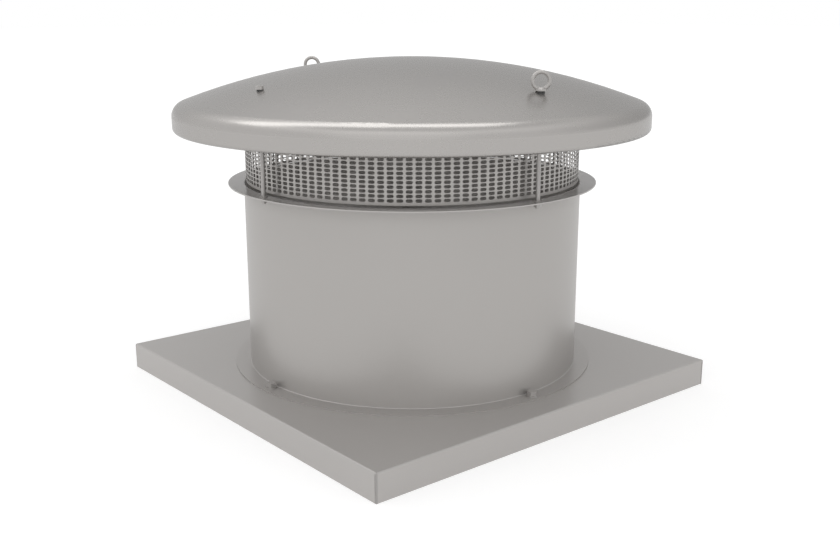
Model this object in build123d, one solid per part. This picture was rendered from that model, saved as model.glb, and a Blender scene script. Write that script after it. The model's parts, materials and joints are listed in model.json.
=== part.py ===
from build123d import *
import math
import os

# Roof exhaust fan: an axial fan in a short rolled casing on a folded square base,
# with a perforated bird guard and a spun rain hood carried on four tie rods.
# Millimetres. +Z is up, the origin lies on the fan axis at the base's lower edge,
# and the sides of the base run along X and Y.

# Sheet metal
sheet = 2.5
bend_radius = 1.5
hood_sheet = 1.5
guard_sheet = 1.5

# Folded base with a drawn inlet collar
base_side = 900.0
base_height = 56.0
collar_height = 30.0
collar_clearance = 0.5
seam_gap = 0.8

# Rolled casing
casing_bore_radius = 353.0
casing_height = 391.0
flange_width = 35.0

# Circle on which the base bolts and the tie rods stand, measured from the casing's bore
fixing_offset = 17.0
fixing_count = 4

# Spun hood
hood_radius = 494.5
hood_top = 700.0
hood_rim_height = 556.0
dome_radius = 1356.0
shoulder_radius = 28.3
rim_roll_radius = 9.5

# Bird guard, with each slot standing for a block of the fine perforation
guard_inset = 2.0
guard_gap = 5.0
guard_columns = 24
guard_rows = 5
guard_upright = 22.0
guard_hoop = 12.0
guard_edge_band = 10.0
guard_cut_depth = 12.0
guard_lip_width = 11.0

# Tie rods
rod_diameter = 9.0
thread_diameter = 8.0
thread_end = 3.0

# Lifting eyes on two of the tie rods
eye_height = 37.8
eye_ring_radius = 15.6
eye_wire_radius = 3.8
eye_collar_radius = 10.0
eye_collar_height = 3.5
eye_neck_radius = 7.0
eye_neck_height = 6.5
eye_cover = 1.0
eye_turn = -40.0

# Rubber seals between the level fasteners and the sloping hood
seal_radius = 7.5
seal_thinnest = 0.8
nut_seal_radius = 5.8
nut_seal_thinnest = 0.3
nut_thread_end = 1.0
nut_turn = 30.0

# Hexagon fasteners: across flats, head or nut height, washer radius and thickness
m5_diameter = 5.0
m5_flats = 8.0
m5_height = 3.5
m5_reach = 12.0
m8_flats = 13.0
m8_height = 6.5
m8_washer_radius = 8.0
m8_washer = 1.6
m12_diameter = 12.0
m12_flats = 18.0
m12_height = 7.5
m12_washer_radius = 12.0
m12_washer = 2.5
hole_clearance = 0.4
thread_clearance = 0.05

# Motor support welded into the casing
support_thickness = 6.0
support_radius = 110.0
arm_thickness = 5.0
arm_height = 40.0
arm_lap = 26.0
arm_pad = 4.0
arm_pad_overhang = 6.0
arm_pad_angle = 9.0
arm_turn = 45.0

# Motor
motor_flange_radius = 80.0
motor_flange = 12.0
motor_spigot_radius = 55.0
motor_spigot = 3.5
motor_bolt_radius = 65.0
motor_bolt_reach = 10.0
housing_bore_radius = 58.0
housing_wall = 10.0
housing_length = 120.0
fin_radius = 78.0
fin_thickness = 2.5
fin_count = 24
rear_shield = 12.0
shield_round = 1.2
shield_screw_radius = 62.0
register = 4.0
register_wall = 6.0
shield_web = 10.0
bearing_bore_radius = 10.0
bearing_radius = 23.5
bearing_width = 14.0
bearing_boss_wall = 6.5
bearing_shield_depth = 0.8
bearing_race = 3.5
bearing_lip = 2.0
rear_bearing_gap = 1.0
stator_length = 70.0
stator_bore_radius = 36.0
winding_length = 15.0
winding_inset = 4.0
air_gap = 0.5
running_clearance = 0.03
seat_clearance = 0.02

# Terminal box
box_width = 90.0
box_height = 80.0
box_depth = 42.0
box_wall = 3.0
box_pad_reach = 80.0
box_lid = 6.0
box_lid_overhang = 2.0
box_screw_inset = 9.0
wire_hole_radius = 12.0
gland_radius = 10.0
gland_flats = 24.0
gland_flange = 8.0
gland_cap = 14.0
gland_cap_radius = 10.5
gland_bore_radius = 5.0

# Shaft, key and shaft seal
shaft_radius = 9.5
shaft_core_radius = 13.0
shoulder_gap = 0.3
shaft_hole_clearance = 1.5
key_width = 6.0
key_height = 6.0
key_length = 40.0
slinger_radius = 15.0
slinger_width = 4.0
slinger_gap = 0.3

# Impeller
impeller_height = 109.0
blade_count = 6
tip_clearance = 6.0
hub_radius = 125.0
hub_half = 35.0
hub_rim = 15.0
hub_web = 10.0
hub_boss_radius = 24.0
hub_boss_rise = 5.0
hub_clearance = 12.0
hub_bolt_radius = 85.0
socket_rib_radius = 28.0
socket_rib_start = 45.0
shank_radius = 16.0
shank_start = 60.0
shank_collar_radius = 21.0
shank_collar_start = 68.0
shank_collar = 8.0
root_disc_radius = 30.0
root_disc = 6.0
root_gap = 1.0
end_recess = 4.0
end_washer_radius = 18.0
end_washer = 5.0
end_bolt_length = 28.0

# Blade sections from root to tip: chord, pitch, thickness and camber
blade_edge = 1.6
blade_root = (120.0, 42.0, 13.0, 12.0)
blade_middle = (135.0, 32.0, 10.0, 9.0)
blade_tip = (125.0, 25.0, 7.0, 6.0)

# Levels and radii that follow from the sizes above
fold_radius = bend_radius + sheet
casing_outer_radius = casing_bore_radius + sheet
flange_radius = casing_bore_radius + flange_width
fixing_radius = casing_bore_radius + fixing_offset
guard_radius = casing_bore_radius - guard_inset
casing_top = base_height + casing_height
collar_outer_radius = casing_bore_radius - collar_clearance
collar_inner_radius = collar_outer_radius - sheet
m5_radius = m5_diameter / 2
thread_radius = thread_diameter / 2
m12_radius = m12_diameter / 2
dome_centre = hood_top - dome_radius
shoulder_offset = hood_radius - shoulder_radius
shoulder_level = dome_centre + math.sqrt((dome_radius - shoulder_radius) ** 2 - shoulder_offset**2)
dome_half_angle = math.degrees(math.atan2(shoulder_offset, shoulder_level - dome_centre))
impeller_level = base_height + impeller_height
support_bottom = impeller_level + hub_half + hub_clearance
support_top = support_bottom + support_thickness
housing_bottom = support_top + motor_flange
housing_top = housing_bottom + housing_length
motor_top = housing_top + rear_shield
housing_radius = housing_bore_radius + housing_wall
stator_bottom = housing_bottom + (housing_length - stator_length) / 2
stator_top = stator_bottom + stator_length
rotor_radius = stator_bore_radius - air_gap
drive_bearing_bottom = support_top + bearing_lip
rear_bearing_bottom = motor_top - bearing_lip - bearing_width - rear_bearing_gap
shaft_end = impeller_level - hub_half + end_recess
hub_top = impeller_level + hub_half + hub_boss_rise
box_level = housing_bottom + housing_length / 2
tip_radius = casing_bore_radius - tip_clearance
root_radius = hub_radius + root_gap
LOW = (Align.CENTER, Align.CENTER, Align.MIN)


def dome_level(radius, depth=0.0):
    """Height of the hood's dome at a radius, or of a surface that lies depth inside it."""
    return dome_centre + math.sqrt((dome_radius - depth) ** 2 - radius**2)


seat_level = dome_level(fixing_radius - seal_radius) + seal_thinnest
nut_seat_level = dome_level(fixing_radius - nut_seal_radius) + nut_seal_thinnest
under_level = dome_level(fixing_radius + seal_radius, hood_sheet) - seal_thinnest


def disc(radius, bottom, top):
    """Round solid about the fan axis between two levels."""
    return Pos(0, 0, bottom) * Cylinder(radius, top - bottom, align=LOW)


def ring(inner, outer, bottom, top):
    """Round solid with a central hole about the fan axis."""
    return Pos(0, 0, bottom) * extrude(Circle(outer) - Circle(inner), top - bottom)


def hexagon(flats, bottom, top):
    """Hexagonal solid about the fan axis between two levels."""
    return Pos(0, 0, bottom) * extrude(RegularPolygon(flats / 2, 6, major_radius=False), top - bottom)


def turned(lines):
    """Solid turned about the fan axis from a closed outline of radius and height."""
    return revolve(Plane.XZ * make_face(lines), Axis.Z)


def turned_from_points(*points):
    """Solid turned about the fan axis from the corners of its outline."""
    return turned(Polyline(*points, close=True))


def at_fixings(piece):
    """Copies of a piece that stands on the axis, at every fixing point."""
    return [place * piece for place in PolarLocations(fixing_radius, fixing_count)]


def around(piece, radius, count, start=0.0):
    """Copies of a piece that stands on the axis, spaced evenly round a circle."""
    return [place * piece for place in PolarLocations(radius, count, start)]


def joined(pieces):
    """One solid from pieces that meet."""
    first, *rest = pieces
    return first.fuse(*rest) if rest else first


def make_base_plate():
    """Square pan folded from one sheet, with the inlet drawn up into a collar."""
    fold_start = collar_outer_radius + bend_radius
    outer = Box(base_side, base_side, base_height, align=LOW)
    outer = fillet(outer.faces().sort_by(Axis.Z)[-1].edges(), fold_radius)
    inner_side = base_side - 2 * sheet
    inner = Box(inner_side, inner_side, base_height - sheet, align=LOW)
    inner = fillet(inner.faces().sort_by(Axis.Z)[-1].edges(), bend_radius)
    holes = at_fixings(disc(m12_radius + hole_clearance, 0, base_height))
    seam = Pos(-base_side / 2, -base_side / 2 + sheet, 0) * Box(
        sheet, seam_gap, base_height - fold_radius, align=(Align.MIN, Align.MIN, Align.MIN)
    )
    pan = outer - inner - disc(fold_start, 0, base_height) - holes - around(seam, 0, fixing_count)
    turn = (fold_start, base_height + bend_radius)
    collar_top = base_height + collar_height
    collar = turned(
        CenterArc(turn, bend_radius, 180, 90)
        + Line((collar_outer_radius, turn[1]), (collar_outer_radius, collar_top))
        + Line((collar_outer_radius, collar_top), (collar_inner_radius, collar_top))
        + Line((collar_inner_radius, collar_top), (collar_inner_radius, turn[1]))
        + CenterArc(turn, fold_radius, 180, 90)
        + Line((fold_start, base_height - sheet), (fold_start, base_height))
    )
    return pan + collar


def make_casing():
    """Rolled drum with a flange turned out at each end."""
    turn = casing_bore_radius + fold_radius
    low = base_height + fold_radius
    high = casing_top - fold_radius
    drum = turned(
        Line((flange_radius, base_height), (turn, base_height))
        + CenterArc((turn, low), fold_radius, 180, 90)
        + Line((casing_bore_radius, low), (casing_bore_radius, high))
        + CenterArc((turn, high), fold_radius, 90, 90)
        + Line((turn, casing_top), (flange_radius, casing_top))
        + Line((flange_radius, casing_top), (flange_radius, casing_top - sheet))
        + Line((flange_radius, casing_top - sheet), (turn, casing_top - sheet))
        + CenterArc((turn, high), bend_radius, 90, 90)
        + Line((casing_outer_radius, high), (casing_outer_radius, low))
        + CenterArc((turn, low), bend_radius, 180, 90)
        + Line((turn, base_height + sheet), (flange_radius, base_height + sheet))
        + Line((flange_radius, base_height + sheet), (flange_radius, base_height))
    )
    bolt_hole = disc(m12_radius + hole_clearance, base_height, base_height + sheet)
    rod_hole = disc(thread_radius + hole_clearance, casing_top - sheet, casing_top)
    return drum - at_fixings(bolt_hole) - at_fixings(rod_hole)


def make_hood():
    """Spun dome with a rounded shoulder, a straight rim and a lower edge rolled inwards."""
    roll = (hood_radius - rim_roll_radius, hood_rim_height + rim_roll_radius)
    shoulder = (shoulder_offset, shoulder_level)
    tangent = 90 - dome_half_angle
    inner_radius = hood_radius - hood_sheet
    shell = turned(
        CenterArc((0, dome_centre), dome_radius, tangent, dome_half_angle)
        + CenterArc(shoulder, shoulder_radius, 0, tangent)
        + Line((hood_radius, shoulder_level), (hood_radius, roll[1]))
        + CenterArc(roll, rim_roll_radius, 270, 90)
        + Line((roll[0], hood_rim_height), (roll[0], hood_rim_height + hood_sheet))
        + CenterArc(roll, rim_roll_radius - hood_sheet, 270, 90)
        + Line((inner_radius, roll[1]), (inner_radius, shoulder_level))
        + CenterArc(shoulder, shoulder_radius - hood_sheet, 0, tangent)
        + CenterArc((0, dome_centre), dome_radius - hood_sheet, tangent, dome_half_angle)
        + Line((0, hood_top - hood_sheet), (0, hood_top))
    )
    return shell - at_fixings(disc(thread_radius + hole_clearance, hood_rim_height, hood_top))


def make_bird_guard():
    """Perforated cylinder that hangs from the dome by a turned-out lip."""
    inner = guard_radius - guard_sheet
    bottom = casing_top + guard_gap
    lip_outer = guard_radius + guard_lip_width
    above = hood_sheet + seat_clearance
    below = above + guard_sheet
    sphere = (0, dome_centre)

    def direction(radius, depth):
        return math.degrees(math.acos(radius / (dome_radius - depth)))

    def dome_arc(start, end, depth):
        first = direction(start, depth)
        return CenterArc(sphere, dome_radius - depth, first, direction(end, depth) - first)

    wall = turned(
        Line((inner, bottom), (guard_radius, bottom))
        + Line((guard_radius, bottom), (guard_radius, dome_level(guard_radius, below)))
        + dome_arc(lip_outer, guard_radius, below)
        + Line((lip_outer, dome_level(lip_outer, below)), (lip_outer, dome_level(lip_outer, above)))
        + dome_arc(lip_outer, inner, above)
        + Line((inner, dome_level(inner, above)), (inner, bottom))
    )
    slotted_height = dome_level(lip_outer, below) - bottom - 2 * guard_edge_band
    row_pitch = (slotted_height + guard_hoop) / guard_rows
    slot_width = 2 * math.pi * guard_radius / guard_columns - guard_upright
    slot_height = row_pitch - guard_hoop
    slot = Box(guard_cut_depth, slot_width, slot_height, align=LOW)
    first_row = bottom + guard_edge_band
    rows = [Pos(0, 0, first_row + row * row_pitch) * slot for row in range(guard_rows)]
    start = 180 / guard_columns
    return wall - [cut for row in rows for cut in around(row, guard_radius, guard_columns, start)]


def make_tie_rod(top):
    """Round bar with a threaded end through the casing flange and one through the hood."""
    foot = casing_top - sheet - m8_washer - m8_height - thread_end
    bar = disc(rod_diameter / 2, casing_top + m8_washer, under_level - m8_washer)
    return bar + disc(thread_radius, foot, casing_top + m8_washer) + disc(
        thread_radius, under_level - m8_washer, top
    )


def make_outer_seal(radius, seat):
    """Rubber wedge that fills the slope between the hood and a level fastener above it."""
    hole = thread_radius + thread_clearance
    blank = ring(hole, radius, dome_level(fixing_radius + 2 * radius), seat)
    return Pos(fixing_radius, 0, 0) * blank - Pos(0, 0, dome_centre) * Sphere(dome_radius)


def make_inner_seal():
    """Rubber wedge that fills the slope between the hood and the level washer below it."""
    hole = thread_radius + thread_clearance
    blank = ring(hole, seal_radius, under_level, dome_level(fixing_radius - 2 * seal_radius))
    return Pos(fixing_radius, 0, 0) * blank & Pos(0, 0, dome_centre) * Sphere(dome_radius - hood_sheet)


def make_lifting_eye():
    """Forged eye nut: a ring sunk in a conical neck with a round collar, flat and tapped below."""
    ring_level = seat_level + eye_height - eye_ring_radius - eye_wire_radius
    neck_top = seat_level + eye_neck_height
    loop = Pos(0, 0, ring_level) * Rot(90, 0, 0) * Torus(eye_ring_radius, eye_wire_radius)
    base = turned_from_points(
        (0, seat_level),
        (eye_collar_radius, seat_level),
        (eye_collar_radius, seat_level + eye_collar_height),
        (eye_neck_radius, neck_top),
        (0, neck_top),
    )
    below_seat = disc(eye_ring_radius + eye_wire_radius, seat_level - eye_wire_radius, seat_level)
    tapped = disc(thread_radius + thread_clearance, seat_level, neck_top - eye_cover)
    return loop - below_seat + base - tapped


def make_motor_support():
    """Welded spider: a round motor plate on four flat arms that end in pads on the casing wall."""
    pad_bottom = support_top - arm_pad_overhang
    pad_top = support_top + arm_height + arm_pad_overhang
    wall = casing_bore_radius - seat_clearance
    arm_start = support_radius - arm_lap
    arm = Pos(arm_start, 0, support_top) * Box(
        wall - arm_pad - arm_start, arm_thickness, arm_height, align=(Align.MIN, Align.CENTER, Align.MIN)
    )
    pad_section = Rectangle(arm_pad, pad_top - pad_bottom, align=(Align.MAX, Align.MIN))
    pad_face = Plane.XZ * Pos(wall, pad_bottom) * pad_section
    pad = Rot(0, 0, -arm_pad_angle / 2) * revolve(pad_face, Axis.Z, arm_pad_angle)
    curved = wall - arm_pad
    sagging = curved * (1 - math.cos(math.asin(arm_thickness / 2 / curved)))
    filler = Pos(curved - sagging, 0, support_top) * Box(
        sagging + arm_pad / 2, arm_thickness, arm_height, align=(Align.MIN, Align.CENTER, Align.MIN)
    )
    spoke = arm + filler + pad
    plate = ring(motor_spigot_radius + seat_clearance, support_radius, support_bottom, support_top)
    hole = disc(thread_radius + hole_clearance, support_bottom, support_top)
    plate = plate - around(hole, motor_bolt_radius, fixing_count, arm_turn)
    return joined([plate] + around(spoke, 0, fixing_count, arm_turn))


def make_drive_end_shield():
    """Motor flange with its spigot, bearing seat and the register that centres the housing."""
    hole = shaft_radius + shaft_hole_clearance
    boss = bearing_radius + bearing_boss_wall
    fit = housing_bore_radius - seat_clearance
    spigot_bottom = support_top - motor_spigot
    bearing_top = drive_bearing_bottom + bearing_width
    web_top = spigot_bottom + shield_web
    shield = turned_from_points(
        (hole, spigot_bottom),
        (motor_spigot_radius, spigot_bottom),
        (motor_spigot_radius, support_top),
        (motor_flange_radius, support_top),
        (motor_flange_radius, housing_bottom),
        (fit, housing_bottom),
        (fit, housing_bottom + register),
        (fit - register_wall, housing_bottom + register),
        (fit - register_wall, web_top),
        (boss, web_top),
        (boss, bearing_top),
        (bearing_radius + seat_clearance, bearing_top),
        (bearing_radius + seat_clearance, drive_bearing_bottom),
        (hole, drive_bearing_bottom),
    )
    tapped = disc(thread_radius + thread_clearance, support_top, support_top + motor_bolt_reach)
    return shield - around(tapped, motor_bolt_radius, fixing_count, arm_turn)


def make_rear_end_shield():
    """Closed motor end cover with the rear bearing seat."""
    boss = bearing_radius + bearing_boss_wall
    seat = bearing_radius + seat_clearance
    fit = housing_bore_radius - seat_clearance
    cap = rear_bearing_bottom + bearing_width + rear_bearing_gap
    web = motor_top - shield_web
    shield = turned_from_points(
        (0, motor_top),
        (housing_radius, motor_top),
        (housing_radius, housing_top),
        (fit, housing_top),
        (fit, housing_top - register),
        (fit - register_wall, housing_top - register),
        (fit - register_wall, web),
        (boss, web),
        (boss, rear_bearing_bottom),
        (seat, rear_bearing_bottom),
        (seat, cap),
        (0, cap),
    )
    shield = fillet(shield.edges().group_by(Axis.Z)[-1], shield_round)
    screw_hole = disc(m5_radius + hole_clearance, housing_top, motor_top)
    return shield - around(screw_hole, shield_screw_radius, fixing_count)


def make_motor_housing():
    """Ribbed motor barrel with a flat pad for the terminal box."""
    barrel = disc(housing_radius, housing_bottom, housing_top)
    fin = Box(
        fin_radius - housing_bore_radius, fin_thickness, housing_length, align=(Align.MIN, Align.CENTER, Align.MIN)
    )
    fins = around(Pos(0, 0, housing_bottom) * fin, housing_bore_radius, fin_count, 180 / fin_count)
    pad = Pos(0, housing_bore_radius, box_level) * Box(
        box_width - 2 * box_wall,
        box_pad_reach - housing_bore_radius,
        box_height - 2 * box_wall,
        align=(Align.CENTER, Align.MIN, Align.CENTER),
    )
    bore = disc(housing_bore_radius, housing_bottom, housing_top)
    wires = Pos(0, 0, box_level) * Rot(-90, 0, 0) * Cylinder(wire_hole_radius, box_pad_reach, align=LOW)
    screw = disc(m5_radius + thread_clearance, housing_top - m5_reach, housing_top)
    screws = around(screw, shield_screw_radius, fixing_count)
    return joined([barrel, pad] + fins) - bore - wires - screws


def make_bearing(bottom):
    """Sealed ball bearing, with its shields set back between the two races."""
    top = bottom + bearing_width
    bore = bearing_bore_radius + running_clearance
    inner = bore + bearing_race
    outer = bearing_radius - bearing_race
    return turned_from_points(
        (bore, bottom),
        (inner, bottom),
        (inner, bottom + bearing_shield_depth),
        (outer, bottom + bearing_shield_depth),
        (outer, bottom),
        (bearing_radius, bottom),
        (bearing_radius, top),
        (outer, top),
        (outer, top - bearing_shield_depth),
        (inner, top - bearing_shield_depth),
        (inner, top),
        (bore, top),
    )


def box_corners(inset):
    """Points at the four corners of the terminal box, inset from its outer faces."""
    return GridLocations(box_width - 2 * inset, box_height - 2 * inset, 2, 2)


def facing_box(distance):
    """Plane square to the terminal box at a distance from the fan axis, facing outwards."""
    return Plane((0, distance, box_level), x_dir=(-1, 0, 0), z_dir=(0, 1, 0))


def make_terminal_box():
    """Cast box, open towards its lid, with a tapped boss in each corner."""
    outline = RectangleRounded(box_width, box_height, box_screw_inset)
    hollow = RectangleRounded(
        box_width - 2 * box_wall, box_height - 2 * box_wall, box_screw_inset - box_wall
    )
    blank = extrude(facing_box(box_pad_reach) * outline, box_depth)
    cavity = extrude(facing_box(box_pad_reach + box_wall) * hollow, box_depth - box_wall)
    boss = Rectangle(2 * box_screw_inset, 2 * box_screw_inset)
    posts = extrude(
        facing_box(box_pad_reach) * Sketch([place * boss for place in box_corners(box_screw_inset)]), box_depth
    )
    tapped = Cylinder(
        m5_radius + thread_clearance, m5_reach, align=(Align.CENTER, Align.CENTER, Align.MAX)
    )
    screw_plane = facing_box(box_pad_reach + box_depth)
    holes = [screw_plane * place * tapped for place in box_corners(box_screw_inset)]
    wires = facing_box(box_pad_reach) * Cylinder(wire_hole_radius, box_wall, align=LOW)
    outlet = Pos(box_width / 2, box_pad_reach + box_depth / 2, box_level) * Rot(0, 90, 0) * Cylinder(
        gland_radius + seat_clearance, 2 * box_wall
    )
    return blank - (cavity - posts) - holes - wires - outlet


def make_terminal_lid():
    """Flat cover of the terminal box."""
    lid = RectangleRounded(
        box_width + 2 * box_lid_overhang, box_height + 2 * box_lid_overhang, box_screw_inset + box_lid_overhang
    )
    plane = facing_box(box_pad_reach + box_depth)
    hole = Cylinder(m5_radius + hole_clearance, box_lid, align=LOW)
    holes = [plane * place * hole for place in box_corners(box_screw_inset)]
    return extrude(plane * lid, box_lid) - holes


def make_lid_screws():
    """Four hexagon screws that hold the lid."""
    plane = facing_box(box_pad_reach + box_depth)
    head = hexagon(m5_flats, box_lid, box_lid + m5_height)
    screw = head + disc(m5_radius, box_lid - m5_reach, box_lid)
    return [plane * place * screw for place in box_corners(box_screw_inset)]


def make_cable_gland():
    """Empty cable gland in the side of the terminal box."""
    flange_top = gland_flange
    body = disc(gland_radius, -box_wall, 0) + hexagon(gland_flats, 0, flange_top)
    body = body + disc(gland_cap_radius, flange_top, flange_top + gland_cap)
    body = body - disc(gland_bore_radius, -box_wall, flange_top + gland_cap)
    return Pos(box_width / 2, box_pad_reach + box_depth / 2, box_level) * Rot(0, 90, 0) * body


def make_motor_shaft():
    """Stepped shaft, carried in both bearings and tapped at its lower end."""
    low_shoulder = drive_bearing_bottom + bearing_width + shoulder_gap
    high_shoulder = rear_bearing_bottom - shoulder_gap
    shaft = (
        disc(shaft_radius, shaft_end, drive_bearing_bottom - shoulder_gap)
        + disc(bearing_bore_radius, drive_bearing_bottom - shoulder_gap, low_shoulder)
        + disc(shaft_core_radius, low_shoulder, high_shoulder)
        + disc(bearing_bore_radius, high_shoulder, rear_bearing_bottom + bearing_width)
    )
    tapped = disc(thread_radius + thread_clearance, shaft_end, shaft_end + end_bolt_length)
    return shaft - tapped - make_shaft_key()


def make_shaft_key():
    """Square key, half in the shaft and half in the hub boss."""
    return Pos(shaft_radius, 0, impeller_level - key_length / 2) * Box(
        key_height, key_width, key_length, align=LOW
    )


def blade_place(number):
    """Turn that carries a blade from the X axis to its place on the hub."""
    return Rot(0, 0, number * 360 / blade_count)


def make_blade_root(clearance):
    """Round shank and retaining collar of a blade along X, with an allowance all round."""
    along_x = Pos(0, 0, impeller_level) * Rot(0, 90, 0)
    shank = disc(shank_radius + clearance, shank_start - clearance, root_radius + root_disc / 2)
    collar = disc(
        shank_collar_radius + clearance, shank_collar_start - clearance, shank_collar_start + shank_collar + clearance
    )
    return along_x * (shank + collar)


def make_hub_half(upper):
    """One cast half of the hub: rim, web and half-round ribs that clamp the blade shanks."""
    side = 1 if upper else -1
    bottom, top = sorted((impeller_level, impeller_level + side * hub_half))
    web_low, web_high = sorted((impeller_level, impeller_level + side * hub_web))
    rim = ring(hub_radius - hub_rim, hub_radius, bottom, top)
    web = ring(hub_boss_radius, hub_radius, web_low, web_high)
    rib = Pos(0, 0, impeller_level) * Rot(0, 90, 0) * disc(
        socket_rib_radius, socket_rib_start, hub_radius - hub_rim / 2
    )
    ribs = [blade_place(number) * rib for number in range(blade_count)]
    layer = disc(hub_radius, bottom, top)
    sockets = [blade_place(number) * make_blade_root(seat_clearance) for number in range(blade_count)]
    bolt_hole = disc(thread_radius + hole_clearance, web_low, web_high)
    bolt_holes = around(bolt_hole, hub_bolt_radius, blade_count, 180 / blade_count)
    body = joined([rim, web] + [rib & layer for rib in ribs])
    if upper:
        body = body - disc(hub_boss_radius + hole_clearance, bottom, top)
    else:
        body = body + disc(hub_boss_radius, bottom, hub_top)
        body = body - disc(shaft_radius + seat_clearance, bottom, hub_top) - make_shaft_key()
    return body - sockets - bolt_holes


def blade_section(radius, chord, pitch, thickness, camber):
    """Cambered blade section, square to the blade's span."""
    half, edge = chord / 2, blade_edge / 2
    outline = make_face(
        ThreePointArc((-half, edge), (0, camber + thickness / 2), (half, edge))
        + Line((half, edge), (half, -edge))
        + ThreePointArc((half, -edge), (0, camber - thickness / 2), (-half, -edge))
        + Line((-half, -edge), (-half, edge))
    )
    plane = Plane((radius, 0, impeller_level), x_dir=(0, 1, 0), z_dir=(1, 0, 0))
    return plane * Rot(0, 0, pitch) * outline


def make_blade():
    """Twisted blade along X on its round root, with the tip turned to the casing's curve."""
    start = root_radius + root_disc / 2
    middle = (start + tip_radius) / 2
    wing = loft(
        [
            blade_section(start, *blade_root),
            blade_section(middle, *blade_middle),
            blade_section(tip_radius + tip_clearance, *blade_tip),
        ]
    )
    sweep = disc(tip_radius, impeller_level - hub_radius, impeller_level + hub_radius)
    base = Pos(0, 0, impeller_level) * Rot(0, 90, 0) * disc(root_disc_radius, root_radius, root_radius + root_disc)
    return (wing & sweep) + base + make_blade_root(0)


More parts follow.
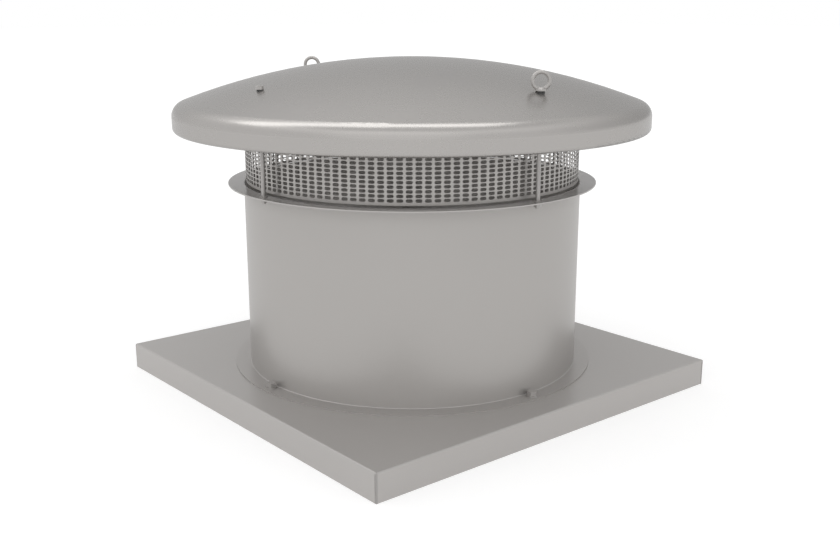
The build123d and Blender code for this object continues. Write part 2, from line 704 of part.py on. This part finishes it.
def build_parts():
    """Every sub-part by name, each one solid or a list of like solids."""
    parts = {
        "base_plate": make_base_plate(),
        "casing": make_casing(),
        "hood": make_hood(),
        "bird_guard": make_bird_guard(),
    }

    # Base bolts through the casing's lower flange
    bolt_seat = base_height + sheet + m12_washer
    nut_top = base_height - sheet
    bolt_end = nut_top - m12_height - thread_end
    hole = m12_radius + thread_clearance
    bolt = hexagon(m12_flats, bolt_seat, bolt_seat + m12_height) + disc(m12_radius, bolt_end, bolt_seat)
    parts["base_bolts"] = at_fixings(bolt)
    parts["base_washers"] = at_fixings(ring(hole, m12_washer_radius, bolt_seat - m12_washer, bolt_seat))
    base_nut = hexagon(m12_flats, nut_top - m12_height, nut_top) - disc(hole, bolt_end, nut_top)
    parts["base_nuts"] = at_fixings(base_nut)

    # Tie rods with their washers, nuts and seals
    hole = thread_radius + thread_clearance
    eye_top = seat_level + eye_neck_height - eye_cover
    nut_top = nut_seat_level + m8_height
    for number, place in enumerate(PolarLocations(fixing_radius, fixing_count), start=1):
        top = eye_top if number % 2 == 0 else nut_top + nut_thread_end
        parts[f"tie_rod_{number}"] = place * make_tie_rod(top)
    foot = casing_top - sheet
    washer = ring(hole, m8_washer_radius, 0, m8_washer)
    parts["rod_foot_washers"] = at_fixings(Pos(0, 0, casing_top) * washer) + at_fixings(
        Pos(0, 0, foot - m8_washer) * washer
    )
    rod_nut_top = foot - m8_washer
    rod_nut = hexagon(m8_flats, rod_nut_top - m8_height, rod_nut_top) - disc(hole, 0, rod_nut_top)
    parts["rod_foot_nuts"] = at_fixings(rod_nut)
    parts["rod_head_washers"] = at_fixings(Pos(0, 0, under_level - m8_washer) * washer)
    parts["inner_seals"] = around(make_inner_seal(), 0, fixing_count)
    eye_seal = make_outer_seal(seal_radius, seat_level)
    nut_seal = make_outer_seal(nut_seal_radius, nut_seat_level)
    parts["outer_seals"] = around(eye_seal, 0, 2, 90) + around(nut_seal, 0, 2)
    hood_nut = hexagon(m8_flats, nut_seat_level, nut_top) - disc(hole, nut_seat_level, nut_top)
    parts["hood_nuts"] = around(Rot(0, 0, nut_turn) * hood_nut, fixing_radius, 2)
    eye = Rot(0, 0, eye_turn) * make_lifting_eye()
    for number, turn in enumerate((-1, 1), start=1):
        parts[f"lifting_eye_{number}"] = Pos(0, turn * fixing_radius, 0) * eye

    # Motor and its support
    parts["motor_support"] = make_motor_support()
    motor_bolt = hexagon(m8_flats, support_bottom - m8_height, support_bottom) + disc(
        thread_radius, support_bottom, support_top + motor_bolt_reach - thread_end
    )
    parts["motor_bolts"] = around(motor_bolt, motor_bolt_radius, fixing_count, arm_turn)
    parts["drive_end_shield"] = make_drive_end_shield()
    parts["motor_housing"] = make_motor_housing()
    parts["rear_end_shield"] = make_rear_end_shield()
    shield_screw = hexagon(m5_flats, motor_top, motor_top + m5_height) + disc(
        m5_radius, housing_top - m5_reach, motor_top
    )
    parts["shield_screws"] = around(shield_screw, shield_screw_radius, fixing_count)
    parts["stator_core"] = ring(
        stator_bore_radius, housing_bore_radius - seat_clearance, stator_bottom, stator_top
    )
    winding = ring(
        stator_bore_radius + winding_inset, housing_bore_radius - winding_inset, 0, winding_length
    )
    parts["stator_windings"] = [
        Pos(0, 0, level) * winding for level in (stator_bottom - winding_length, stator_top)
    ]
    parts["drive_end_bearing"] = make_bearing(drive_bearing_bottom)
    parts["rear_bearing"] = make_bearing(rear_bearing_bottom)
    parts["terminal_box"] = make_terminal_box()
    parts["terminal_lid"] = make_terminal_lid()
    parts["lid_screws"] = make_lid_screws()
    parts["cable_gland"] = make_cable_gland()

    # Rotating parts
    parts["motor_shaft"] = make_motor_shaft()
    parts["rotor_core"] = ring(shaft_core_radius + seat_clearance, rotor_radius, stator_bottom, stator_top)
    parts["shaft_key"] = make_shaft_key()
    slinger_top = support_top - motor_spigot - slinger_gap
    parts["shaft_slinger"] = ring(
        shaft_radius + seat_clearance, slinger_radius, slinger_top - slinger_width, slinger_top
    )
    parts["impeller_hub"] = make_hub_half(upper=False)
    parts["hub_clamp"] = make_hub_half(upper=True)
    web_bottom = impeller_level - hub_web
    web_top = impeller_level + hub_web
    hub_bolt = hexagon(m8_flats, web_bottom - m8_height, web_bottom) + disc(
        thread_radius, web_bottom, web_top + m8_height + thread_end
    )
    hub_nut = hexagon(m8_flats, web_top, web_top + m8_height) - disc(hole, web_top, web_top + m8_height)
    parts["hub_bolts"] = around(hub_bolt, hub_bolt_radius, blade_count, 180 / blade_count)
    parts["hub_nuts"] = around(hub_nut, hub_bolt_radius, blade_count, 180 / blade_count)
    hub_bottom = impeller_level - hub_half
    parts["shaft_end_washer"] = ring(hole, end_washer_radius, hub_bottom - end_washer, hub_bottom)
    bolt_head = hub_bottom - end_washer
    parts["shaft_end_bolt"] = hexagon(m8_flats, bolt_head - m8_height, bolt_head) + disc(
        thread_radius, bolt_head, bolt_head + end_bolt_length
    )
    blade = make_blade()
    for number in range(blade_count):
        parts[f"blade_{number + 1}"] = blade_place(number) * blade
    return parts


os.makedirs("parts", exist_ok=True)
for name, piece in build_parts().items():
    solid = Compound(children=piece) if isinstance(piece, list) else piece
    export_step(solid, f"parts/{name}.step")
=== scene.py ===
import json
import math

import bpy
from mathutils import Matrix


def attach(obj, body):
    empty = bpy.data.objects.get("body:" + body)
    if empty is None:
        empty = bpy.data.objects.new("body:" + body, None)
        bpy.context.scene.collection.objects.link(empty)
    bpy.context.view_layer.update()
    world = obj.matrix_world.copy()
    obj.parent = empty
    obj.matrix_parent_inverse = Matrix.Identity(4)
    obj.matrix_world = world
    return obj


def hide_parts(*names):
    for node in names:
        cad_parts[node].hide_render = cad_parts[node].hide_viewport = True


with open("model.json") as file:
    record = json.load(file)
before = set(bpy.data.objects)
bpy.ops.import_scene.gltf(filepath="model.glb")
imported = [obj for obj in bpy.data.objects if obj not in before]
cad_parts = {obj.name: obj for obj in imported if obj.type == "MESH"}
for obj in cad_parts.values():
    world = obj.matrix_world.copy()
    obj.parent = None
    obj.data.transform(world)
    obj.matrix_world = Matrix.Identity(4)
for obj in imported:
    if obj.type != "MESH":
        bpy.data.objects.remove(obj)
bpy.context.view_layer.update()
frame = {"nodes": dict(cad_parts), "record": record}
nodes = frame["nodes"]

# Sizes shared with the solids, in metres
GUARD_RADIUS = 0.351
GUARD_LIP_RADIUS = 0.362
GUARD_WALL_TOP = 0.6502
GUARD_LIP_LEVEL = 0.6472
CASING_TOP = 0.447
BASE_TOP = 0.056
BASE_HALF = 0.450

# Fine perforation of the bird guard, in a thinner sheet that reaches a little lower than in the solids
GUARD_SHEET = 0.0010
GUARD_BOTTOM = 0.4505
GUARD_COLUMNS = 127
GUARD_ROWS = 23
GUARD_ROW_PITCH = 0.0084
GUARD_FIRST_ROW = 0.4594
GUARD_SLOT_WIDTH = 0.0128
GUARD_SLOT_HEIGHT = 0.0065
GUARD_SLOT_CORNER = 0.0029
GUARD_CORNER_SEGMENTS = 2
GUARD_SMOOTH_ANGLE = 30
ROW_MERGE = 1e-5
COLUMN_MERGE = 1e-4

# Sheet metal colours
STEEL = (0.412, 0.397, 0.383)
DRUM_STEEL = (0.440, 0.424, 0.409)
BASE_STEEL = (0.475, 0.457, 0.443)

# How far the grain and the clouds of a sheet change its tone and its roughness
SHEET_GLOSS = 0.2
SHEET_TONE = 0.02
CLOUD_SHARE = 0.6
LINE_SHARE = 0.4
CLOUD_ROUGHNESS = 0.05
LINE_ROUGHNESS = 0.04
SHEET_DEPTH = 0.00002

# The same for cast, moulded and plated surfaces
PLAIN_TONE = 0.1
PLAIN_ROUGHNESS = 0.1

# Where the casing and the base change their roughness and their painted light and shade, in metres, and how
# much
UPPER_FLANGE = 0.002
LOWER_FLANGE = 0.004
FOLD_DEPTH = 0.003
SLIT_EDGE = 0.004
UPPER_FLANGE_PAINTED_LIGHT = 1.05
UPPER_FLANGE_POLISH = 0.4
LOWER_FLANGE_PAINTED_SHADE = 0.92
BASE_TOP_PAINTED_SHADES = (0.90, 0.94)
SLIT_PAINTED_SHADE = 0.78

# Camera of the photograph, with angles in degrees
CAMERA_PLACE = (-1.4129, -1.7143, 0.7990)
CAMERA_PITCH = 75.396
CAMERA_HEADING = -39.919
CAMERA_LENS = 44.825
SENSOR_WIDTH = 36.0

# Floor
FLOOR_SIZE = 80.0
FLOOR_TONE = 0.66
FLOOR_GLOW = 0.46

# Surroundings: levels by the height of a direction, and the side to which they dim above the horizon
SKY_STOPS = [(0.03, 1.0), (0.35, 1.0), (0.70, 1.24), (0.88, 0.85), (1.0, 1.0)]
DIM_SIDE = (0.94, 0.342, 0)
DIM_SHARE = 0.37
DIM_START = 0.01
DIM_FULL = 0.04

# Lights, with angles in degrees
TOP_LIGHT_PLACE = (-0.73, 0.61, 2.6)
TOP_LIGHT_SIZE = (3.8, 1.1)
TOP_LIGHT_POWER = 23.0
SIDE_LIGHT_TURN = (65, 0, -48)
SIDE_LIGHT_SPREAD = 60
SIDE_LIGHT_POWER = 0.15
INLET_LIGHT_PLACE = (0, 0, 0.01)
INLET_LIGHT_SIZE = 0.64
INLET_LIGHT_POWER = 2.6


class Value:
    """A value in a node tree; arithmetic on it adds Math nodes."""

    def __init__(self, tree, socket):
        self.tree = tree
        self.socket = socket

    def math(self, operation, first, second=0.0):
        node = self.tree.nodes.new("ShaderNodeMath")
        node.operation = operation
        feed(self.tree, node.inputs[0], first)
        feed(self.tree, node.inputs[1], second)
        return Value(self.tree, node.outputs[0])

    def __add__(self, other):
        return self.math("ADD", self, other)

    def __radd__(self, other):
        return self.math("ADD", other, self)

    def __sub__(self, other):
        return self.math("SUBTRACT", self, other)

    def __rsub__(self, other):
        return self.math("SUBTRACT", other, self)

    def __mul__(self, other):
        return self.math("MULTIPLY", self, other)

    def __rmul__(self, other):
        return self.math("MULTIPLY", other, self)

    def __abs__(self):
        return self.math("ABSOLUTE", self)


def feed(tree, socket, value):
    """Links a Value to a socket, or sets the socket to a plain number, vector or colour."""
    if isinstance(value, Value):
        tree.links.new(value.socket, socket)
    else:
        socket.default_value = value


def shade(color, factor):
    """A colour made lighter or darker, with full alpha."""
    return tuple(channel * factor for channel in color) + (1.0,)


def gray(level):
    return (level, level, level, 1.0)


def set_stops(ramp, stops):
    """Gives a colour ramp grey stops, each a place and a level, with eased slopes between them."""
    ramp.interpolation = "EASE"
    ramp.elements.remove(ramp.elements[-1])
    (place, level), *others = stops
    ramp.elements[0].position = place
    ramp.elements[0].color = gray(level)
    for place, level in others:
        ramp.elements.new(place).color = gray(level)


class Graph:
    """A node tree with one method that adds any node."""

    def __init__(self, tree):
        self.tree = tree

    def node(self, kind, settings=None, sockets=None, output=0):
        node = self.tree.nodes.new(kind)
        for name, value in (settings or {}).items():
            if name == "stops":
                set_stops(node.color_ramp, value)
            else:
                setattr(node, name, value)
        for name, value in (sockets or {}).items():
            feed(self.tree, node.inputs[name], value)
        return Value(self.tree, node.outputs[output])

    def along(self, vector, axis):
        return self.node("ShaderNodeSeparateXYZ", sockets={"Vector": vector}, output=axis)

    def slope(self, value, start, end):
        """0 up to the start, 1 from the end on, and an even slope between them."""
        return self.node("ShaderNodeMapRange", sockets={"Value": value, "From Min": start, "From Max": end})


class Look(Graph):
    """A material with one Principled shader."""

    def __init__(self, name, roughness, metallic=0.0):
        self.material = bpy.data.materials.new(name)
        self.material.use_nodes = True
        super().__init__(self.material.node_tree)
        self.shader = self.tree.nodes["Principled BSDF"]
        self.set("Roughness", roughness)
        self.set("Metallic", metallic)

    def set(self, name, value):
        feed(self.tree, self.shader.inputs[name], value)

    def place(self):
        return self.node("ShaderNodeTexCoord", output="Object")

    def above(self, level, reach):
        """1 above a height of the piece, 0 below it, with a short slope between them."""
        return self.slope(self.along(self.place(), "Z"), level, level + reach)

    def beyond(self, axis, distance, reach):
        """1 farther than a distance from the middle of the piece along one axis, 0 nearer to it."""
        return self.slope(abs(self.along(self.place(), axis)), distance, distance + reach)

    def stretched(self, scale):
        return self.node("ShaderNodeMapping", sockets={"Vector": self.place(), "Scale": scale})

    def noise(self, scale, detail, vector=None):
        sockets = {"Vector": vector or self.place(), "Scale": scale, "Detail": detail}
        return self.node("ShaderNodeTexNoise", sockets=sockets, output="Fac")

    def blend(self, factor, low, high):
        """Mixes two colours; the sockets go by number, because each kind of mix uses the same names."""
        return self.node("ShaderNodeMix", {"data_type": "RGBA"}, {0: factor, 6: low, 7: high}, output=2)

    def bump(self, height, distance):
        return self.node("ShaderNodeBump", sockets={"Height": height, "Distance": distance, "Strength": 1.0})


class Sheet(Look):
    """Satin sheet metal with a fine grain stretched along one direction and a faint cloudiness."""

    def __init__(self, name, color, roughness, metallic, edge, grain, depth=SHEET_DEPTH):
        super().__init__(name, roughness, metallic)
        self.set("Specular IOR Level", SHEET_GLOSS)
        self.set("Specular Tint", gray(edge))
        lines = self.noise(1.0, 4.0, self.stretched(grain))
        clouds = self.noise(6.0, 3.0)
        self.grain = clouds * CLOUD_SHARE + lines * LINE_SHARE
        self.color = self.blend(self.grain, shade(color, 1 - SHEET_TONE), shade(color, 1 + SHEET_TONE))
        smoothest = roughness - (CLOUD_ROUGHNESS + LINE_ROUGHNESS) / 2
        self.spread = clouds * CLOUD_ROUGHNESS + lines * LINE_ROUGHNESS + smoothest
        self.set("Base Color", self.color)
        self.set("Roughness", self.spread)
        self.set("Normal", self.bump(lines, depth))


def casing_look():
    """The rolled sheet, smoother on its upper flange and lighter there as a painted highlight, and darker on
    the lower flange with the base top's painted shade.
    """
    look = Sheet("casing_sheet", DRUM_STEEL, roughness=0.36, metallic=0.5, edge=0.85, grain=(500, 500, 20))
    upper = look.above(CASING_TOP - UPPER_FLANGE, reach=0.001)
    lower = 1.0 - look.above(BASE_TOP + LOWER_FLANGE, reach=0.003)
    # Painted shade: the lower flange takes the darker colour of the base's top
    color = look.blend(lower, look.color, shade(BASE_STEEL, LOWER_FLANGE_PAINTED_SHADE))
    # Painted highlight: the upper flange is lighter in colour, and its roughness is lower
    look.set("Base Color", look.blend(upper, color, shade(BASE_STEEL, UPPER_FLANGE_PAINTED_LIGHT)))
    look.set("Roughness", look.spread * (1.0 - upper * UPPER_FLANGE_POLISH))
    return look.material


def base_look():
    """The folded sheet, darker on top than on its skirts as painted shade, with painted shade on the cut
    edges at its corner slits.
    """
    look = Sheet("base_sheet", BASE_STEEL, roughness=0.33, metallic=0.4, edge=1.0, grain=(18, 900, 900))
    # Painted shade: the top of the base is darker than its skirts
    shaded_top = look.blend(look.grain, *[shade(BASE_STEEL, tone) for tone in BASE_TOP_PAINTED_SHADES])
    color = look.blend(look.above(BASE_TOP - FOLD_DEPTH, reach=0.002), look.color, shaded_top)
    # Painted shade: a dark line along the corner slits, where the gap between the skirts lies in shade
    corner = BASE_HALF - SLIT_EDGE
    slit = look.beyond("X", corner, reach=0.001) * look.beyond("Y", corner, reach=0.001)
    look.set("Base Color", look.blend(slit, color, shade(BASE_STEEL, SLIT_PAINTED_SHADE)))
    return look.material


def sheet_look(name, color, **finish):
    return Sheet(name, color, **finish).material


def plain_look(name, color, roughness, metallic, grain_scale, depth):
    """Cast, moulded or plated surface with a fine even grain."""
    look = Look(name, roughness, metallic)
    grain = look.noise(grain_scale, 4.0)
    clouds = look.noise(25.0, 2.0)
    look.set("Base Color", look.blend(clouds, shade(color, 1 - PLAIN_TONE), shade(color, 1 + PLAIN_TONE)))
    look.set("Roughness", grain * PLAIN_ROUGHNESS + (roughness - PLAIN_ROUGHNESS / 2))
    look.set("Normal", look.bump(grain, depth))
    return look.material


even_grain = (80, 80, 80)
guard_metal = sheet_look("guard_sheet", DRUM_STEEL, roughness=0.40, metallic=0.7, edge=0.85, grain=even_grain)
looks = {
    "base_plate": base_look(),
    "casing": casing_look(),
    "hood": sheet_look("hood_sheet", STEEL, roughness=0.27, metallic=0.8, edge=0.72, grain=(60, 60, 60),
                       depth=0.000001),
    "bird_guard": guard_metal,
    "motor_support": sheet_look("support_sheet", STEEL, roughness=0.40, metallic=0.7, edge=0.85,
                                grain=even_grain),
}
polymer = plain_look("blade_polymer", (0.035, 0.035, 0.038), roughness=0.5, metallic=0.0,
                     grain_scale=800.0, depth=0.0001)
slot_looks = {
    "zinc_steel": plain_look("zinc_plate", (0.42, 0.405, 0.392), roughness=0.36, metallic=0.5,
                             grain_scale=900.0, depth=0.00001),
    "cast_aluminium": plain_look("cast_aluminium", (0.46, 0.46, 0.45), roughness=0.5, metallic=1.0,
                                 grain_scale=700.0, depth=0.0002),
    "black_rubber": plain_look("black_rubber", (0.05, 0.05, 0.05), roughness=0.7, metallic=0.0,
                               grain_scale=900.0, depth=0.0001),
    "laminated_steel": plain_look("laminated_steel", (0.20, 0.20, 0.20), roughness=0.5, metallic=1.0,
                                  grain_scale=400.0, depth=0.0001),
    "copper_winding": plain_look("winding", (0.42, 0.16, 0.07), roughness=0.35, metallic=0.6,
                                 grain_scale=500.0, depth=0.0004),
    "blade_polymer": polymer,
    "gland_plastic": polymer,
}
for row in frame["record"]["subparts"]:
    name = row["node"]
    nodes[name].data.materials.clear()
    nodes[name].data.materials.append(looks.get(name) or slot_looks[row["material_slot"]])


def only(obj):
    """Leaves one object selected and active."""
    bpy.ops.object.select_all(action="DESELECT")
    obj.select_set(True)
    bpy.context.view_layer.objects.active = obj


def apply_modifier(obj, kind, **settings):
    modifier = obj.modifiers.new(kind.lower(), kind)
    for name, value in settings.items():
        setattr(modifier, name, value)
    only(obj)
    bpy.ops.object.modifier_apply(modifier=modifier.name)


def settle(obj):
    """Applies the object's own place, turn and scale, so that its mesh holds them."""
    only(obj)
    bpy.ops.object.transform_apply(location=True, rotation=True, scale=True)


def select_edges(obj, rule):
    """Opens an object for editing with the edges selected whose two ends meet a rule."""
    only(obj)
    bpy.ops.object.mode_set(mode="EDIT")
    bpy.ops.mesh.select_mode(type="EDGE")
    bpy.ops.mesh.select_all(action="DESELECT")
    bpy.ops.object.mode_set(mode="OBJECT")
    for edge in obj.data.edges:
        edge.select = all(rule(obj.data.vertices[index].co) for index in edge.vertices)
    bpy.ops.object.mode_set(mode="EDIT")


def extrude(offset):
    """Draws the selected edges out by an offset."""
    bpy.ops.mesh.extrude_edges_move(TRANSFORM_OT_translate={"value": offset})


def make_guard():
    """Perforated cylinder: one slot, a column of them with its margins and lip, then the whole ring."""
    step = 2 * math.pi / GUARD_COLUMNS
    pitch = 2 * GUARD_RADIUS * math.tan(step / 2)
    centre = (GUARD_RADIUS, 0, GUARD_FIRST_ROW)
    upright = (math.radians(90), 0, math.radians(90))

    # One slot with round corners in its share of the sheet
    bpy.ops.mesh.primitive_plane_add(size=1.0, location=centre, rotation=upright)
    guard = bpy.context.object
    guard.name = "fine_guard"
    guard.scale = (GUARD_SLOT_WIDTH, GUARD_SLOT_HEIGHT, 1)
    settle(guard)
    bpy.ops.object.mode_set(mode="EDIT")
    bpy.ops.mesh.select_all(action="SELECT")
    bpy.ops.mesh.bevel(offset=GUARD_SLOT_CORNER, segments=GUARD_CORNER_SEGMENTS, affect="VERTICES")
    bpy.ops.mesh.select_all(action="DESELECT")
    bpy.ops.mesh.primitive_plane_add(size=1.0, location=centre, rotation=upright)
    bpy.ops.transform.resize(value=(1, pitch, GUARD_ROW_PITCH), center_override=centre)
    bpy.ops.mesh.select_all(action="SELECT")
    bpy.ops.mesh.delete(type="ONLY_FACE")
    bpy.ops.mesh.select_all(action="SELECT")
    bpy.ops.mesh.fill()
    bpy.ops.mesh.normals_make_consistent(inside=False)
    bpy.ops.object.mode_set(mode="OBJECT")

    # A column of slots, its plain margins and the lip under the hood
    apply_modifier(guard, "ARRAY", count=GUARD_ROWS, use_relative_offset=False, use_constant_offset=True,
                   constant_offset_displace=(0, 0, GUARD_ROW_PITCH), use_merge_vertices=True,
                   merge_threshold=ROW_MERGE)
    low = GUARD_FIRST_ROW - GUARD_ROW_PITCH / 2
    high = low + GUARD_ROWS * GUARD_ROW_PITCH
    select_edges(guard, lambda co: co.z < low + ROW_MERGE)
    extrude((0, 0, GUARD_BOTTOM - low))
    bpy.ops.object.mode_set(mode="OBJECT")
    select_edges(guard, lambda co: co.z > high - ROW_MERGE)
    extrude((0, 0, GUARD_WALL_TOP - high))
    extrude((GUARD_LIP_RADIUS - GUARD_RADIUS, 0, GUARD_LIP_LEVEL - GUARD_WALL_TOP))
    bpy.ops.transform.resize(value=(1, GUARD_LIP_RADIUS / GUARD_RADIUS, 1))
    bpy.ops.object.mode_set(mode="OBJECT")

    # The ring of columns and the sheet's thickness
    bpy.ops.object.empty_add(rotation=(0, 0, step))
    turn = bpy.context.object
    apply_modifier(guard, "ARRAY", count=GUARD_COLUMNS, use_relative_offset=False, use_object_offset=True,
                   offset_object=turn, use_merge_vertices=True, use_merge_vertices_cap=True,
                   merge_threshold=COLUMN_MERGE)
    bpy.data.objects.remove(turn)
    apply_modifier(guard, "SOLIDIFY", thickness=GUARD_SHEET, offset=-1.0, use_even_offset=True)
    only(guard)
    bpy.ops.object.shade_smooth_by_angle(angle=math.radians(GUARD_SMOOTH_ANGLE))
    guard.data.materials.append(guard_metal)
    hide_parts("bird_guard")
    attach(guard, "housing")


make_guard()

# Floor, which is pale to the camera and in reflections, and keeps the object's shadow
bpy.ops.mesh.primitive_plane_add(size=FLOOR_SIZE, location=(0, 0, 0))
floor = bpy.context.object
floor.name = "floor"
floor_look = Look("floor", 0.9)
floor_look.set("Base Color", gray(FLOOR_TONE))
floor_look.set("Specular IOR Level", 0.0)
floor_look.set("Emission Strength", 1.0)
camera_ray, glossy_ray, transmission_ray = [
    floor_look.node("ShaderNodeLightPath", output=kind)
    for kind in ("Is Camera Ray", "Is Glossy Ray", "Is Transmission Ray")
]
floor_look.set("Emission Color", (camera_ray + glossy_ray + transmission_ray) * FLOOR_GLOW)
floor.data.materials.append(floor_look.material)

# Surroundings, white at the horizon and dimmer to one side above it
world = bpy.context.scene.world or bpy.data.worlds.new("studio")
bpy.context.scene.world = world
world.use_nodes = True
sky = Graph(world.node_tree)
direction = sky.node("ShaderNodeTexCoord", output="Generated")
height = sky.along(direction, "Z")
glow = sky.node("ShaderNodeValToRGB", {"stops": SKY_STOPS}, {"Fac": height})
facing = sky.node("ShaderNodeVectorMath", {"operation": "DOT_PRODUCT"}, {0: direction, 1: DIM_SIDE},
                  output="Value")
dimmed = sky.slope(facing, 0.0, 1.0) * sky.slope(height, DIM_START, DIM_FULL)
color = sky.node("ShaderNodeVectorMath", {"operation": "SCALE"},
                 {0: glow, "Scale": 1.0 - dimmed * DIM_SHARE}, output="Vector")
feed(sky.tree, world.node_tree.nodes["Background"].inputs["Color"], color)


def turned(angles):
    return [math.radians(angle) for angle in angles]


def add_light(kind, power, place, angles):
    bpy.ops.object.light_add(type=kind, location=place, rotation=turned(angles))
    light = bpy.context.object
    light.data.energy = power
    return light


# A wide light above, which shows only in reflections and gives the highlight on the hood's shoulder
top_light = add_light("AREA", TOP_LIGHT_POWER, TOP_LIGHT_PLACE, (0, 0, CAMERA_HEADING))
top_light.data.shape = "RECTANGLE"
top_light.data.size, top_light.data.size_y = TOP_LIGHT_SIZE
top_light.visible_diffuse = False

# A weak, soft light from the side
side_light = add_light("SUN", SIDE_LIGHT_POWER, (0, 0, 0), SIDE_LIGHT_TURN)
side_light.data.angle = math.radians(SIDE_LIGHT_SPREAD)

# A weak light in the inlet, facing up and kept out of reflections, which makes the inside grey
inlet_light = add_light("AREA", INLET_LIGHT_POWER, INLET_LIGHT_PLACE, (180, 0, 0))
inlet_light.data.shape = "DISK"
inlet_light.data.size = INLET_LIGHT_SIZE
inlet_light.visible_glossy = False

bpy.ops.object.camera_add(location=CAMERA_PLACE, rotation=turned((CAMERA_PITCH, 0, CAMERA_HEADING)))
camera = bpy.context.object
camera.data.lens = CAMERA_LENS
camera.data.sensor_width = SENSOR_WIDTH
bpy.context.scene.camera = camera

bpy.context.scene.view_settings.view_transform = "Standard"
